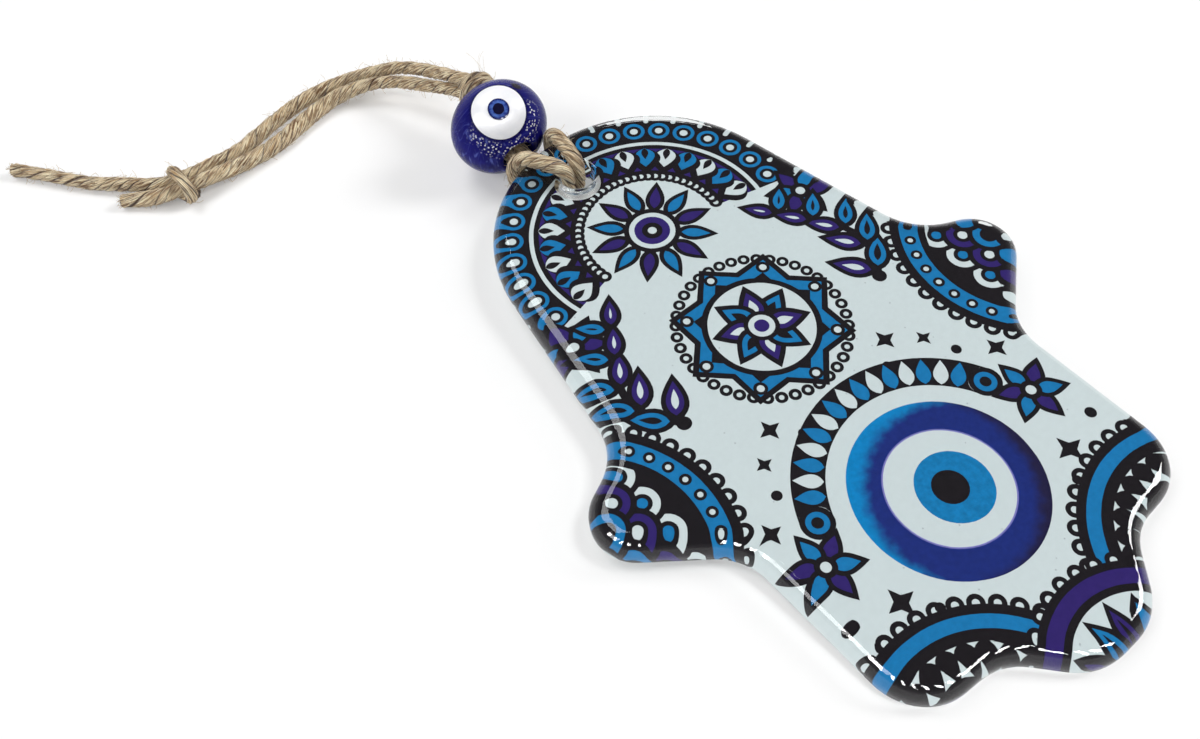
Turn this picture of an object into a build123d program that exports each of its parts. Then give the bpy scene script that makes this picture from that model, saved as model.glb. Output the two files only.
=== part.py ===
from build123d import *
import math
import os

# A hamsa hand ornament lying on a table: a clear glass hand with a printed film behind it,
# a glass eye bead, and one jute cord that holds them together.
# Millimetres, +Z up, +Y from the fingers to the wrist, +X to the thumb on the right.
# The origin is on the table under the middle of the glass hand.

# Glass hand
HAND_LENGTH = 160.0        # middle fingertip to the top of the wrist
WRIST_RADIUS = 35.7        # the arch of the wrist
THUMB_CORNER = 65.3        # half the span between the corners that the thumb tips round off
PALM_HALF_WIDTH = 38.1     # under the thumbs
THUMB_TOP_INSET = 42.4     # half the width at the corner above a thumb
THUMB_TOP_DROP = 74.0      # from the wrist top down to that corner
THUMB_TIP_DROP = 84.5      # from the wrist top down to a thumb's tip corner
THUMB_ROOT_DROP = 105.4    # from the wrist top down to the corner under a thumb
SIDE_FINGER_HALF = 37.6    # half the width at the side fingers' outer corners
SIDE_FINGER_RISE = 13.5    # the side fingers end this far above the middle fingertip
NOTCH_HALF = 18.3          # half the width at the notches beside the middle finger
NOTCH_DEPTH = 12.3         # the notches lie this far above the middle fingertip
MIDDLE_HALF = 7.4          # half the width at the middle finger's corners
THUMB_TOP_RADIUS = 14.0
THUMB_TIP_RADIUS = 9.0
THUMB_ROOT_RADIUS = 12.0
SIDE_FINGER_RADIUS = 11.5
NOTCH_RADIUS = 12.0
MIDDLE_RADIUS = 13.0
GLASS_THICKNESS = 5.5
FRONT_ROUNDING = 3.8       # the fire-rounded front rim
BACK_ROUNDING = 0.7

# Hole for the cord, drilled by hand a little left of the middle
HOLE_ROOM = 0.8            # between the two strands' outer flanks and the hole
HOLE_INSET = 13.4          # from the wrist top to the hole's centre
HOLE_OFFSET = -3.5         # from the middle line, towards the left thumb
HOLE_ROUNDING = 1.0

# Printed film on the back of the glass
FILM_THICKNESS = 0.15
FILM_MARGIN = 0.9          # bare glass between the film and the outline
FILM_HOLE_MARGIN = 1.4     # bare glass round the hole

# Jute cord
CORD_DIAMETER = 3.0
CORD_CLEARANCE = 0.4       # between the cord and the glass or film
STRAND_GAP = 0.4           # between neighbouring strands of the hitch
LEFT_LOOP_SLACK = 1.0      # room between the hitch's left loop and the rim, so that the hand can swing
RIGHT_LOOP_SLACK = 0.7     # the same for the right loop
STRAND_TURN = 0.8          # the two strands between the loops turn up this far outside the rim
HITCH_LEAN = 9.0           # degrees that the hitch leans to the left of the middle line
LEG_GAP = 1.5              # from a strand to the loop beside it, where the loops cross the rim
HOLE_BEND = 3.0            # bend radius of the cord's middle line at the hole
RIM_BEND = 6.1             # over the rounded rim
CROSSING_BEND = 5.2        # where the loops turn to cross under the strands
RISE_BEND = 2.8            # where the cord rises to the bead

# Glass eye bead
BEAD_DIAMETER = 23.8       # across the bore
BEAD_LENGTH = 20.4         # along the bore, before the bore cuts its ends off
BORE_CLEARANCE = 0.4       # between the two strands and the bore
STRAND_DROP = 1.0          # the strands lie this far below the bore's middle
BORE_LIP = 0.8
BEAD_ROOM = 0.5            # left over where the cord crosses between the rim and the bore's mouth
BEAD_SIDEWAYS = -2.2       # from the hitch's middle to the bore's mouth
MOUTH_RUN = 0.8            # the strands leave the bore straight for this length
BORE_TURN = 7.0            # degrees that the bore points to the right of the middle line
BORE_RISE = 15.0           # degrees that the bore rises away from the hand
EYE_TILT_BACK = 28.0       # degrees that the eye leans towards the hand
EYE_TILT_LEFT = 11.0       # degrees that the eye leans to the left
WHITE_DIAMETER = 12.6
IRIS_DIAMETER = 5.0
PUPIL_DIAMETER = 2.6
DOT_PROUD = 0.12           # each dot stands this far out of the glass that it is fused into
WHITE_DEPTH = 1.0
IRIS_DEPTH = 0.7
PUPIL_DEPTH = 0.4

# Knots, each a barrel with flat ends that the strands meet
KNOT_MARGIN = 0.3                # from the strands' outer flanks to a knot's flat end's edge
STOP_KNOT_BULGE = 0.8
STOP_KNOT_LENGTH = 7.0
END_KNOT_BULGE = 0.4
END_KNOT_LENGTH = 8.5
KNOT_TO_BEAD = 0.5
KNOT_RUN = 4.4                   # a strand leaves a knot straight for this length
TAIL_SEAT = 1.5                  # the tails start this far inside the end knot
END_KNOT_PLACE = (-66.8, 31.8)   # from the stop knot's outer end, seen from above
END_KNOT_TURN = 80.0             # degrees that the end knot's outer end points to the left of +Y

# Cord routes behind the stop knot, as (x, y) from its outer end and the height above the table.
# The points next to the knots are worked out below.
OUTER_ROUTE = [
    (1.6, 8.8, 17.1),
    (-0.5, 14.2, 14.8),
    (-3.7, 20.4, 11.5),
    (-7.9, 26.4, 8.2),
    (-13.5, 32.1, 5.1),
    (-20.5, 37.0, 2.7),
    (-28.5, 39.7, 1.65),
    (-36.4, 38.4, 1.55),
    (-43.3, 35.9, 1.55),
    (-50.5, 32.8, 2.6),
]
INNER_ROUTE = [
    (-1.8, 8.8, 17.0),
    (-4.3, 13.4, 14.6),
    (-7.2, 18.2, 11.6),
    (-10.7, 22.8, 8.6),
    (-15.3, 27.4, 5.6),
    (-21.3, 31.6, 3.0),
    (-28.1, 33.0, 1.7),
    (-35.3, 31.4, 1.55),
    (-42.5, 29.7, 1.55),
    (-49.9, 29.2, 2.2),
]
LONG_TAIL_ROUTE = [
    (-73.9, 38.4, 3.4),
    (-78.1, 43.4, 2.2),
    (-82.5, 48.2, 1.6),
    (-86.3, 53.1, 1.55),
    (-89.7, 58.7, 1.6),
    (-93.5, 64.1, 1.55),
    (-97.6, 69.1, 1.55),
]
SHORT_TAIL_ROUTE = [
    (-73.7, 32.7, 2.9),
    (-77.3, 35.2, 1.9),
    (-80.9, 37.3, 1.55),
]


# Working sizes
WRIST_Y = HAND_LENGTH / 2
CORD_RADIUS = CORD_DIAMETER / 2
BEAD_RADIUS = BEAD_DIAMETER / 2
BEAD_HALF_LENGTH = BEAD_LENGTH / 2
STRAND_HALF_PITCH = (CORD_DIAMETER + STRAND_GAP) / 2
BORE_RADIUS = math.hypot(STRAND_HALF_PITCH, STRAND_DROP) + CORD_RADIUS + BORE_CLEARANCE
BORE_HALF = BEAD_HALF_LENGTH * math.sqrt(1 - (BORE_RADIUS / BEAD_RADIUS) ** 2)
HOLE_X, HOLE_Y = HOLE_OFFSET, WRIST_Y - HOLE_INSET
LEG_HALF_SPREAD = STRAND_HALF_PITCH + CORD_DIAMETER + LEG_GAP
HOLE_RADIUS = STRAND_HALF_PITCH + CORD_RADIUS + HOLE_ROOM
KNOT_END_RADIUS = STRAND_HALF_PITCH + CORD_RADIUS + KNOT_MARGIN
STOP_KNOT_RADIUS = KNOT_END_RADIUS + STOP_KNOT_BULGE
END_KNOT_RADIUS = KNOT_END_RADIUS + END_KNOT_BULGE

# Heights of the cord's middle line from the glass's back face
UNDER_LEVEL = -(FILM_THICKNESS + CORD_CLEARANCE + CORD_RADIUS)
FRONT_LEVEL = GLASS_THICKNESS + CORD_CLEARANCE + CORD_RADIUS
CROSSING_LEVEL = UNDER_LEVEL - CORD_DIAMETER - STRAND_GAP


def rim_distance(lean, sideways):
    """From the hole to the wrist's arch, along a line that leans left and is shifted sideways."""
    along = Vector(-math.sin(math.radians(lean)), math.cos(math.radians(lean)))
    across = Vector(along.Y, -along.X)
    start = Vector(HOLE_X, HOLE_Y) + across * sideways - Vector(0, WRIST_Y - WRIST_RADIUS)
    forward = start.dot(along)
    return math.sqrt(forward**2 - start.dot(start) + WRIST_RADIUS**2) - forward


# The hand leans on the hitch's crossing, so it lies at a small slope with its fingertip on the table
LEAN = math.radians(HITCH_LEAN)
CROSSING_OUT = rim_distance(HITCH_LEAN, -LEG_HALF_SPREAD) + LEFT_LOOP_SLACK + CORD_RADIUS
CROSSING_Y = HOLE_Y + CROSSING_OUT * math.cos(LEAN) - LEG_HALF_SPREAD * math.sin(LEAN)
CROSSING_REACH = CROSSING_Y + WRIST_Y - FILM_MARGIN
SLOPE = math.degrees(math.asin((CORD_RADIUS - CROSSING_LEVEL - FILM_THICKNESS) / CROSSING_REACH))
TIP_LIFT = FILM_THICKNESS - FILM_MARGIN * math.sin(math.radians(SLOPE))
LYING = Pos(0, -WRIST_Y, TIP_LIFT) * Rot(SLOPE, 0, 0) * Pos(0, WRIST_Y, 0)


def hitch_point(sideways, outward, height):
    """A point near the hole: sideways and outward along the hitch, and its height from the glass's back."""
    x = HOLE_X + sideways * math.cos(LEAN) - outward * math.sin(LEAN)
    y = HOLE_Y + sideways * math.sin(LEAN) + outward * math.cos(LEAN)
    return (LYING * Pos(x, y, height)).position


def outline(margin):
    """The hand's outline on the plate, drawn in by a margin."""
    top, tip = WRIST_Y, -WRIST_Y
    side = Vector(THUMB_TOP_INSET - WRIST_RADIUS, -THUMB_TOP_DROP)
    turn = Vector(1, 0).get_angle(side)
    for _ in range(20):
        wrist_corner = WRIST_RADIUS * math.tan(math.radians(turn / 2))
        turn = Vector(1, 0).get_angle(Vector(THUMB_TOP_INSET - wrist_corner, -THUMB_TOP_DROP))
    half = FilletPolyline(
        (0, top),
        (wrist_corner + 0.001, top),
        (THUMB_TOP_INSET, top - THUMB_TOP_DROP),
        (THUMB_CORNER, top - THUMB_TIP_DROP),
        (PALM_HALF_WIDTH, top - THUMB_ROOT_DROP),
        (SIDE_FINGER_HALF, tip + SIDE_FINGER_RISE),
        (NOTCH_HALF, tip + NOTCH_DEPTH),
        (MIDDLE_HALF, tip),
        (0, tip),
        radius=[
            WRIST_RADIUS,
            THUMB_TOP_RADIUS,
            THUMB_TIP_RADIUS,
            THUMB_ROOT_RADIUS,
            SIDE_FINGER_RADIUS,
            NOTCH_RADIUS,
            MIDDLE_RADIUS,
        ],
    )
    whole = Wire(half.edges() + half.mirror(Plane.YZ).edges())
    if margin:
        whole = whole.offset_2d(-margin)
    return make_face(whole.edges())


def tube(points, radii, name):
    """A cord along straight runs and tangent arcs; prints its bends and checks its volume."""
    path = FilletPolyline(*points, radius=radii)
    start = Plane(path @ 0, z_dir=path % 0)
    solid = sweep(start * Circle(CORD_RADIUS), path=path)
    expected = math.pi * CORD_RADIUS**2 * path.length
    tight = min(radii) / CORD_DIAMETER
    print(f"{name}: length {path.length:.1f}, radii {[round(r, 1) for r in radii]}")
    print(f"  tightest bend {tight:.1f} diameters, volume over section times length {solid.volume / expected:.4f}")
    return solid


def easy_radii(points):
    """Each bend as large as its two runs allow."""
    points = [Vector(p) for p in points]
    radii = []
    for before, at, after in zip(points, points[1:], points[2:]):
        turn = math.radians((at - before).get_angle(after - at))
        shorter = min((at - before).length, (after - at).length)
        radii.append(0.45 * shorter / math.tan(turn / 2))
    return radii


# Glass hand: a slab with a rounded front rim and a drilled hole
slab = extrude(outline(0), GLASS_THICKNESS)
slab = fillet(slab.faces().sort_by(Axis.Z)[-1].edges(), FRONT_ROUNDING)
slab = fillet(slab.faces().sort_by(Axis.Z)[0].edges(), BACK_ROUNDING)
slab -= Pos(HOLE_X, HOLE_Y, GLASS_THICKNESS / 2) * Cylinder(HOLE_RADIUS, 2 * GLASS_THICKNESS)
hole_rims = [e for e in slab.edges().filter_by(GeomType.CIRCLE) if abs(e.radius - HOLE_RADIUS) < 0.01]
slab = fillet(hole_rims, HOLE_ROUNDING)
glass_hand = LYING * slab

# Printed film, cut a little smaller than the glass
film = extrude(outline(FILM_MARGIN), -FILM_THICKNESS)
film -= Pos(HOLE_X, HOLE_Y, 0) * Cylinder(HOLE_RADIUS + FILM_HOLE_MARGIN, 2 * GLASS_THICKNESS)
print_film = LYING * film

# The bead lies on the table, with its bore towards the hitch
bore_direction = Vector(0, 1, 0).rotate(Axis.X, BORE_RISE).rotate(Axis.Z, -BORE_TURN)
bore_side = bore_direction.cross(Vector(0, 0, 1)).normalized()
bore_up = bore_side.cross(bore_direction)
mouth = hitch_point(BEAD_SIDEWAYS, rim_distance(HITCH_LEAN, 0) + CORD_DIAMETER + BEAD_ROOM, 0)
bead_centre = mouth + bore_direction * BORE_HALF
bead_height = math.hypot(BEAD_RADIUS * bore_up.Z, BEAD_HALF_LENGTH * bore_direction.Z)
bead_centre = Vector(bead_centre.X, bead_centre.Y, bead_height)
bore_plane = Plane(bead_centre, x_dir=bore_side, z_dir=bore_direction)


def bead_section(growth):
    """Half of the bead's flattened round, grown all over, before it has its bore."""
    across = BEAD_RADIUS + growth
    along = BEAD_HALF_LENGTH + growth
    bulge = EllipticalCenterArc((0, 0), across, along, start_angle=-90, arc_size=180)
    return make_face([bulge, Line((0, along), (0, -along))])


def turned(section):
    return bore_plane * revolve(Plane.XZ * section, Axis.Z)


bore_section = Pos(BORE_RADIUS / 2, 0) * Rectangle(BORE_RADIUS, BEAD_LENGTH)
ring_section = bead_section(0) - bore_section
ball = turned(fillet(ring_section.vertices(), BORE_LIP))

# Fused dots: curved discs of the bead's own curve, each set into the one before
eye_direction = Vector(0, 0, 1).rotate(Axis.Y, -EYE_TILT_LEFT).rotate(Axis.X, EYE_TILT_BACK)
eye_plane = Plane(bead_centre, z_dir=eye_direction)


def dot(diameter, depth, proud):
    shell = turned(bead_section(proud)) - turned(bead_section(proud - DOT_PROUD - depth))
    post = Pos(0, 0, BEAD_RADIUS) * Cylinder(diameter / 2, BEAD_RADIUS)
    return shell & (eye_plane * post)


white = dot(WHITE_DIAMETER, WHITE_DEPTH, DOT_PROUD)
iris = dot(IRIS_DIAMETER, IRIS_DEPTH, 2 * DOT_PROUD)
pupil = dot(PUPIL_DIAMETER, PUPIL_DEPTH, 3 * DOT_PROUD)
bead_body = ball - white
bead_white = white - iris
bead_iris = iris - pupil
bead_pupil = pupil

# Knots: barrels along the cord with flat ends
def knot(radius, length):
    edge = KNOT_END_RADIUS
    profile = make_face([
        Polyline((0, length), (0, 0), (edge, 0)),
        ThreePointArc((edge, 0), (radius, length / 2), (edge, length)),
        Line((edge, length), (0, length)),
    ])
    return revolve(Plane.XZ * profile, Axis.Z)


stop_start = bead_centre + bore_direction * (BORE_HALF + KNOT_TO_BEAD)
stop_end = stop_start + bore_direction * STOP_KNOT_LENGTH
stop_plane = Plane(stop_start, x_dir=bore_side, z_dir=bore_direction)
stop_knot = stop_plane * knot(STOP_KNOT_RADIUS, STOP_KNOT_LENGTH)

end_direction = Vector(0, 1, 0).rotate(Axis.Z, END_KNOT_TURN)
end_side = end_direction.cross(Vector(0, 0, 1)).normalized()
end_middle = Vector(stop_end.X + END_KNOT_PLACE[0], stop_end.Y + END_KNOT_PLACE[1], END_KNOT_RADIUS)
end_start = end_middle - end_direction * (END_KNOT_LENGTH / 2)
end_finish = end_middle + end_direction * (END_KNOT_LENGTH / 2)
end_plane = Plane(end_start, x_dir=end_side, z_dir=end_direction)
end_knot = end_plane * knot(END_KNOT_RADIUS, END_KNOT_LENGTH)


# Hitch: from the stop knot through the bead, under the hand, up through the hole, over the front
# and the rim, across under both strands, and back the same way on the other side
def hitch_half(side):
    strand = side * STRAND_HALF_PITCH
    leg = side * LEG_HALF_SPREAD
    loop_slack = LEFT_LOOP_SLACK if side < 0 else RIGHT_LOOP_SLACK
    inner = rim_distance(HITCH_LEAN, strand) + STRAND_TURN
    outer = rim_distance(HITCH_LEAN, leg) + loop_slack + CORD_RADIUS
    in_hole = math.sqrt((HOLE_RADIUS - CORD_CLEARANCE - CORD_RADIUS) ** 2 - strand**2)
    in_bore = bore_side * strand - bore_up * STRAND_DROP
    return [
        stop_start + in_bore,
        bead_centre - bore_direction * (BORE_HALF + MOUTH_RUN) + in_bore,
        hitch_point(strand, inner, UNDER_LEVEL),
        hitch_point(strand, in_hole, UNDER_LEVEL),
        hitch_point(strand, in_hole, FRONT_LEVEL),
        hitch_point(leg, outer, FRONT_LEVEL),
        hitch_point(leg, outer, CROSSING_LEVEL),
    ]


HITCH_RADII = [RISE_BEND, RISE_BEND, HOLE_BEND, HOLE_BEND, RIM_BEND, CROSSING_BEND]
hitch_points = hitch_half(-1) + hitch_half(1)[::-1]
cord_hitch = tube(hitch_points, HITCH_RADII + HITCH_RADII[::-1], "cord_hitch")


# Free stretches, from knot to knot and from the end knot to the cut ends
def stretch(name, points, first, last=()):
    placed = [Vector(stop_end.X + x, stop_end.Y + y, z) for x, y, z in points]
    whole = [*first, *placed, *last]
    return tube(whole, easy_radii(whole), name)


def strand(name, points, side):
    start = stop_end + bore_side * side * STRAND_HALF_PITCH
    finish = end_start + end_side * side * STRAND_HALF_PITCH
    leaving = [start, start + bore_direction * KNOT_RUN]
    arriving = [finish - end_direction * KNOT_RUN, finish]
    return stretch(name, points, leaving, arriving)


def tail(name, points, side):
    seat = end_finish - end_direction * TAIL_SEAT + end_side * side * STRAND_HALF_PITCH
    return stretch(name, points, [seat])


strand_outer = strand("strand_outer", OUTER_ROUTE, 1)
strand_inner = strand("strand_inner", INNER_ROUTE, -1)
tail_long = tail("tail_long", LONG_TAIL_ROUTE, 1)
tail_short = tail("tail_short", SHORT_TAIL_ROUTE, -1)

nodes = {
    "glass_hand": glass_hand,
    "print_film": print_film,
    "bead_body": bead_body,
    "bead_white": bead_white,
    "bead_iris": bead_iris,
    "bead_pupil": bead_pupil,
    "cord_hitch": cord_hitch,
    "stop_knot": stop_knot,
    "strand_outer": strand_outer,
    "strand_inner": strand_inner,
    "end_knot": end_knot,
    "tail_long": tail_long,
    "tail_short": tail_short,
}
os.makedirs("parts", exist_ok=True)
for name, node in nodes.items():
    export_step(node, f"parts/{name}.step")
print("slope", round(SLOPE, 3), "bead centre", bead_centre, "stop knot end", stop_end)
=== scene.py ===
import math

import bmesh
import bpy
import numpy as np
from mathutils import Matrix, Vector, geometry


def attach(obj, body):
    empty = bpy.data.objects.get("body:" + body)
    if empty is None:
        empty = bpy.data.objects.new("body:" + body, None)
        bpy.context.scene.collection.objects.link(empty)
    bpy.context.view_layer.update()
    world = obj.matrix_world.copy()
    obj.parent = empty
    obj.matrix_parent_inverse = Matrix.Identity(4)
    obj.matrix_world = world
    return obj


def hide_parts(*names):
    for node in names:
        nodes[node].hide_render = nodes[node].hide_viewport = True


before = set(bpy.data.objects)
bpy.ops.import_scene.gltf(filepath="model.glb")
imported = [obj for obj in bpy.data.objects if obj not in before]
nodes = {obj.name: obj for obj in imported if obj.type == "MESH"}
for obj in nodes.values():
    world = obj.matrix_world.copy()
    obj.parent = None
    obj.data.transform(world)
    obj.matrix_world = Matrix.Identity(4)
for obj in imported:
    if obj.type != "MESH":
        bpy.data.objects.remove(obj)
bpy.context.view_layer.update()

# Glass hand: a slab of clear glass with a fire-rounded rim and a drilled hole for the cord.
# It is cut and melted by hand, so its faces are a little wavy. Everything else hangs on it.
MM = 0.001


def srgb(red, green, blue):
    """A colour given on a screen's scale of 0 to 255, as Blender's linear values."""
    shares = [c / 255 for c in (red, green, blue)]
    return tuple(c / 12.92 if c <= 0.04045 else ((c + 0.055) / 1.055) ** 2.4 for c in shares) + (1.0,)


def adder(tree):
    """A function that adds a node to a tree, with its settings and with values or links at its inputs."""

    def add(kind, values=(), **settings):
        node = tree.nodes.new(kind)
        for key, value in settings.items():
            setattr(node, key, value)
        for socket, value in dict(values).items():
            if isinstance(value, bpy.types.NodeSocket):
                tree.links.new(value, node.inputs[socket])
            else:
                node.inputs[socket].default_value = value
        return node

    return add


def finish_of(name):
    """A new material with its node tree, its Principled shader and a function that adds nodes."""
    material = bpy.data.materials.new(name)
    material.use_nodes = True
    tree = material.node_tree
    return material, tree, tree.nodes["Principled BSDF"], adder(tree)


def mixed(add, factor, first, second):
    """A colour between two others."""
    mix = add("ShaderNodeMix", {"Factor": factor, "A": first, "B": second}, data_type="RGBA")
    return mix.outputs["Result"]


def ranged(add, value, low, high, first=0.0, last=1.0, way="LINEAR"):
    """A value carried from one range into another, and kept inside it."""
    limits = {"Value": value, "From Min": low, "From Max": high, "To Min": first, "To Max": last}
    return add("ShaderNodeMapRange", limits, interpolation_type=way).outputs[0]


def worked(add, operation, *values):
    """A Math node's result."""
    return add("ShaderNodeMath", dict(enumerate(values)), operation=operation).outputs[0]


def noise(add, place, scale, detail=2.0, **more):
    """A noise's value at a place."""
    inputs = {"Vector": place, "Scale": scale, "Detail": detail}
    inputs.update({key.capitalize(): value for key, value in more.items()})
    return add("ShaderNodeTexNoise", inputs).outputs["Fac"]


clear_glass, tree, glass, add = finish_of("clear_glass")
glass.inputs["Base Color"].default_value = (0.972, 0.988, 0.985, 1)
glass.inputs["Roughness"].default_value = 0.015
glass.inputs["IOR"].default_value = 1.5
glass.inputs["Transmission Weight"].default_value = 1.0
place = add("ShaderNodeTexCoord").outputs["Object"]
wobble = worked(add, "MULTIPLY_ADD", noise(add, place, 420.0, 1.0), 0.12, noise(add, place, 85.0, 1.5))
melt = add("ShaderNodeBump", {"Height": wobble, "Strength": 0.35, "Distance": 0.0006})
tree.links.new(melt.outputs["Normal"], glass.inputs["Normal"])
# Light passes straight through the flat faces and is lost in the rounded rim,
# which is where the hand's shadow comes from.
rays = add("ShaderNodeLightPath").outputs
soft_rays = worked(add, "MAXIMUM", rays["Is Shadow Ray"], rays["Is Diffuse Ray"])
slant = add("ShaderNodeLayerWeight", {"Blend": 0.5}).outputs["Facing"]
edge_on = ranged(add, slant, 0.45, 0.85)
dimming = mixed(add, edge_on, (0.97, 0.98, 0.98, 1), (0.13, 0.11, 0.10, 1))
open_air = add("ShaderNodeBsdfTransparent", {"Color": dimming})
through = add("ShaderNodeMixShader", {0: soft_rays, 1: glass.outputs[0], 2: open_air.outputs[0]})
tree.links.new(through.outputs[0], tree.nodes["Material Output"].inputs["Surface"])


def dress(node, finish):
    """Gives a CAD solid its finish."""
    nodes[node].data.materials.clear()
    nodes[node].data.materials.append(finish)


dress("glass_hand", clear_glass)

# Printed film: a thin pale sheet stuck to the back of the glass, with the design in ink on its front.
# The design is drawn flat in millimetres, shape over shape, and then cut into one sheet.
HAND_LENGTH = 160.0
HAND_SLOPE = math.radians(2.441)
TIP_LIFT = 0.1117
FILM_BACK = -0.15
FILM_FRONT = 0.02
NARROWEST_LEAF = 0.4
plate = (
    Matrix.Translation((0, -HAND_LENGTH / 2 * MM, TIP_LIFT * MM))
    @ Matrix.Rotation(HAND_SLOPE, 4, "X")
    @ Matrix.Translation((0, HAND_LENGTH / 2 * MM, 0))
)


def film_loops():
    """The film's outline and the edge of its hole, in millimetres on the plate."""
    face = bmesh.new()
    face.from_mesh(nodes["print_film"].data)
    bmesh.ops.transform(face, matrix=plate.inverted(), verts=face.verts)
    bmesh.ops.remove_doubles(face, verts=face.verts, dist=1e-7)
    sides = [f for f in face.faces if f.normal.z < 0.9]
    bmesh.ops.delete(face, geom=sides, context="FACES")
    walked, loops = set(), []
    for edge in face.edges:
        if not edge.is_boundary or edge in walked:
            continue
        walked.add(edge)
        start, at = edge.verts
        loop = [start.co.xy / MM]
        while at is not start:
            loop.append(at.co.xy / MM)
            edge = next(e for e in at.link_edges if e.is_boundary and e not in walked)
            walked.add(edge)
            at = edge.other_vert(at)
        loops.append(loop)
    face.free()
    return sorted(loops, key=len, reverse=True)


shapes = []


def ink(colour, outline, inside=None):
    """Lays a shape over those before it; inside is the number of a shape that clips it."""
    corners = [(float(x), float(y)) for x, y in outline]
    ring = zip(corners, corners[1:] + corners[:1])
    if sum(a[0] * b[1] - a[1] * b[0] for a, b in ring) < 0:
        corners.reverse()
    shapes.append((colour, corners, inside))
    return len(shapes) - 1


def round_dot(x, y, radius):
    count = int(min(96, max(10, 12 + 4 * radius)))
    turns = [2 * math.pi * i / count for i in range(count)]
    return [(x + radius * math.cos(t), y + radius * math.sin(t)) for t in turns]


def rings(x, y, bands, inside=None):
    """Discs of shrinking radius over each other; gives the number of the first."""
    numbers = [ink(colour, round_dot(x, y, radius), inside) for radius, colour in bands]
    return numbers[0]


def around(x, y, radius, count, first=0.0, last=360.0):
    """Evenly spread spots on an arc: each one's place, angle in degrees and whether its number is odd."""
    for k in range(count):
        angle = first + (last - first) * (k + 0.5) / count
        turn = math.radians(angle)
        yield x + radius * math.cos(turn), y + radius * math.sin(turn), angle, k % 2 == 1


def arch(x, y, inner, outer, first, last):
    """A band between two radii, from one angle in degrees to another."""
    turns = np.radians(np.linspace(first, last, max(4, int(abs(last - first) / 3))))
    out = [(x + outer * math.cos(t), y + outer * math.sin(t)) for t in turns]
    back = [(x + inner * math.cos(t), y + inner * math.sin(t)) for t in turns[::-1]]
    return out + back


def leaf(x, y, angle, length, width):
    """A leaf with a pointed tip, from its foot."""
    along = np.linspace(0, 1, 11)
    half = width / 2 * np.sin(math.pi * along**0.75)
    side = [(t * length, h) for t, h in zip(along, half)]
    side += [(t * length, -h) for t, h in zip(along[-2:0:-1], half[-2:0:-1])]
    c, s = math.cos(math.radians(angle)), math.sin(math.radians(angle))
    return [(x + a * c - b * s, y + a * s + b * c) for a, b in side]


def outlined_leaf(x, y, angle, length, width, colours, line=1.0):
    """A leaf in a black line, with leaves of other colours one inside the other."""
    c, s = math.cos(math.radians(angle)), math.sin(math.radians(angle))
    ink("black", leaf(x, y, angle, length, width))
    for n, colour in enumerate(colours, 1):
        inset = line * n
        foot = 1.4 * inset
        if width - 2 * inset > NARROWEST_LEAF:
            ink(colour, leaf(x + foot * c, y + foot * s, angle, length - 3.2 * inset, width - 2 * inset))


def star(x, y, points, outer, inner, turn=0.0):
    corners = []
    for i in range(2 * points):
        t = math.radians(turn) + math.pi * i / points
        radius = inner if i % 2 else outer
        corners.append((x + radius * math.cos(t), y + radius * math.sin(t)))
    return corners


def stroke(points, width):
    """A line along points, that tapers where its widths do."""
    p = np.array(points, float)
    run = np.gradient(p, axis=0)
    run /= np.linalg.norm(run, axis=1)[:, None]
    across = np.column_stack([-run[:, 1], run[:, 0]]) * np.asarray(width).reshape(-1, 1) / 2
    return [*(p + across), *(p - across)[::-1]]


def flower(x, y, radius, turn=0.0):
    for k in range(6):
        outlined_leaf(x, y, turn + 60 * k, radius, radius * 0.56, ["sky" if k % 2 else "indigo"], 0.95)
    rings(x, y, ((radius * 0.27, "black"), (radius * 0.13, "pale")))


def lace(x, y, radius, count, first, last, size):
    """Black scallops along an arc, each with a pale eyelet."""
    for spot in around(x, y, radius, count, first, last):
        rings(*spot[:2], ((size, "black"), (size * 0.42, "pale")))


outline, hole_edge = film_loops()
GROUND = ink("pale", outline)
HOLE = ink("cut", hole_edge)

# Cuff round the wrist, with a rosette inside it
WRIST = (0.0, 44.3)
CUFF = (-14, 194)
for inner, outer, colour in (
    (27.6, 37.0, "black"),
    (26.6, 27.6, "pale"),
    (17.2, 26.6, "black"),
    (18.4, 25.4, "indigo"),
):
    ink(colour, arch(*WRIST, inner, outer, *CUFF))
for spot in around(*WRIST, 31.4, 19, *CUFF):
    rings(*spot[:2], ((2.6, "sky"), (1.75, "black"), (0.95, "pale")))
for spot in around(*WRIST, 34.6, 18, CUFF[0] + 5.5, CUFF[1] - 5.5):
    rings(*spot[:2], ((0.62, "pale"),))
for x, y, angle, odd in around(*WRIST, 25.6, 17, *CUFF):
    ink("black", leaf(x, y, angle + 180, 8.2, 7.2))
    ink("sky" if odd else "pale", leaf(x, y, angle + 180, 6.0, 4.6))
    ink("black", leaf(x, y, angle + 180, 3.6, 1.7))
lace(*WRIST, 16.6, 36, *CUFF, 1.5)
for x, y, angle, odd in around(*WRIST, 5.2, 12):
    outlined_leaf(x, y, angle, 9.6, 4.4, ["indigo"] if odd else ["sky"], 1.0)
rings(*WRIST, ((6.4, "black"), (5.2, "pale"), (4.0, "indigo"), (2.3, "black"), (1.0, "pale")))
for side in (-1, 1):
    flower(side * 33.0, 31.0, 8.6, 90)

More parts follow.
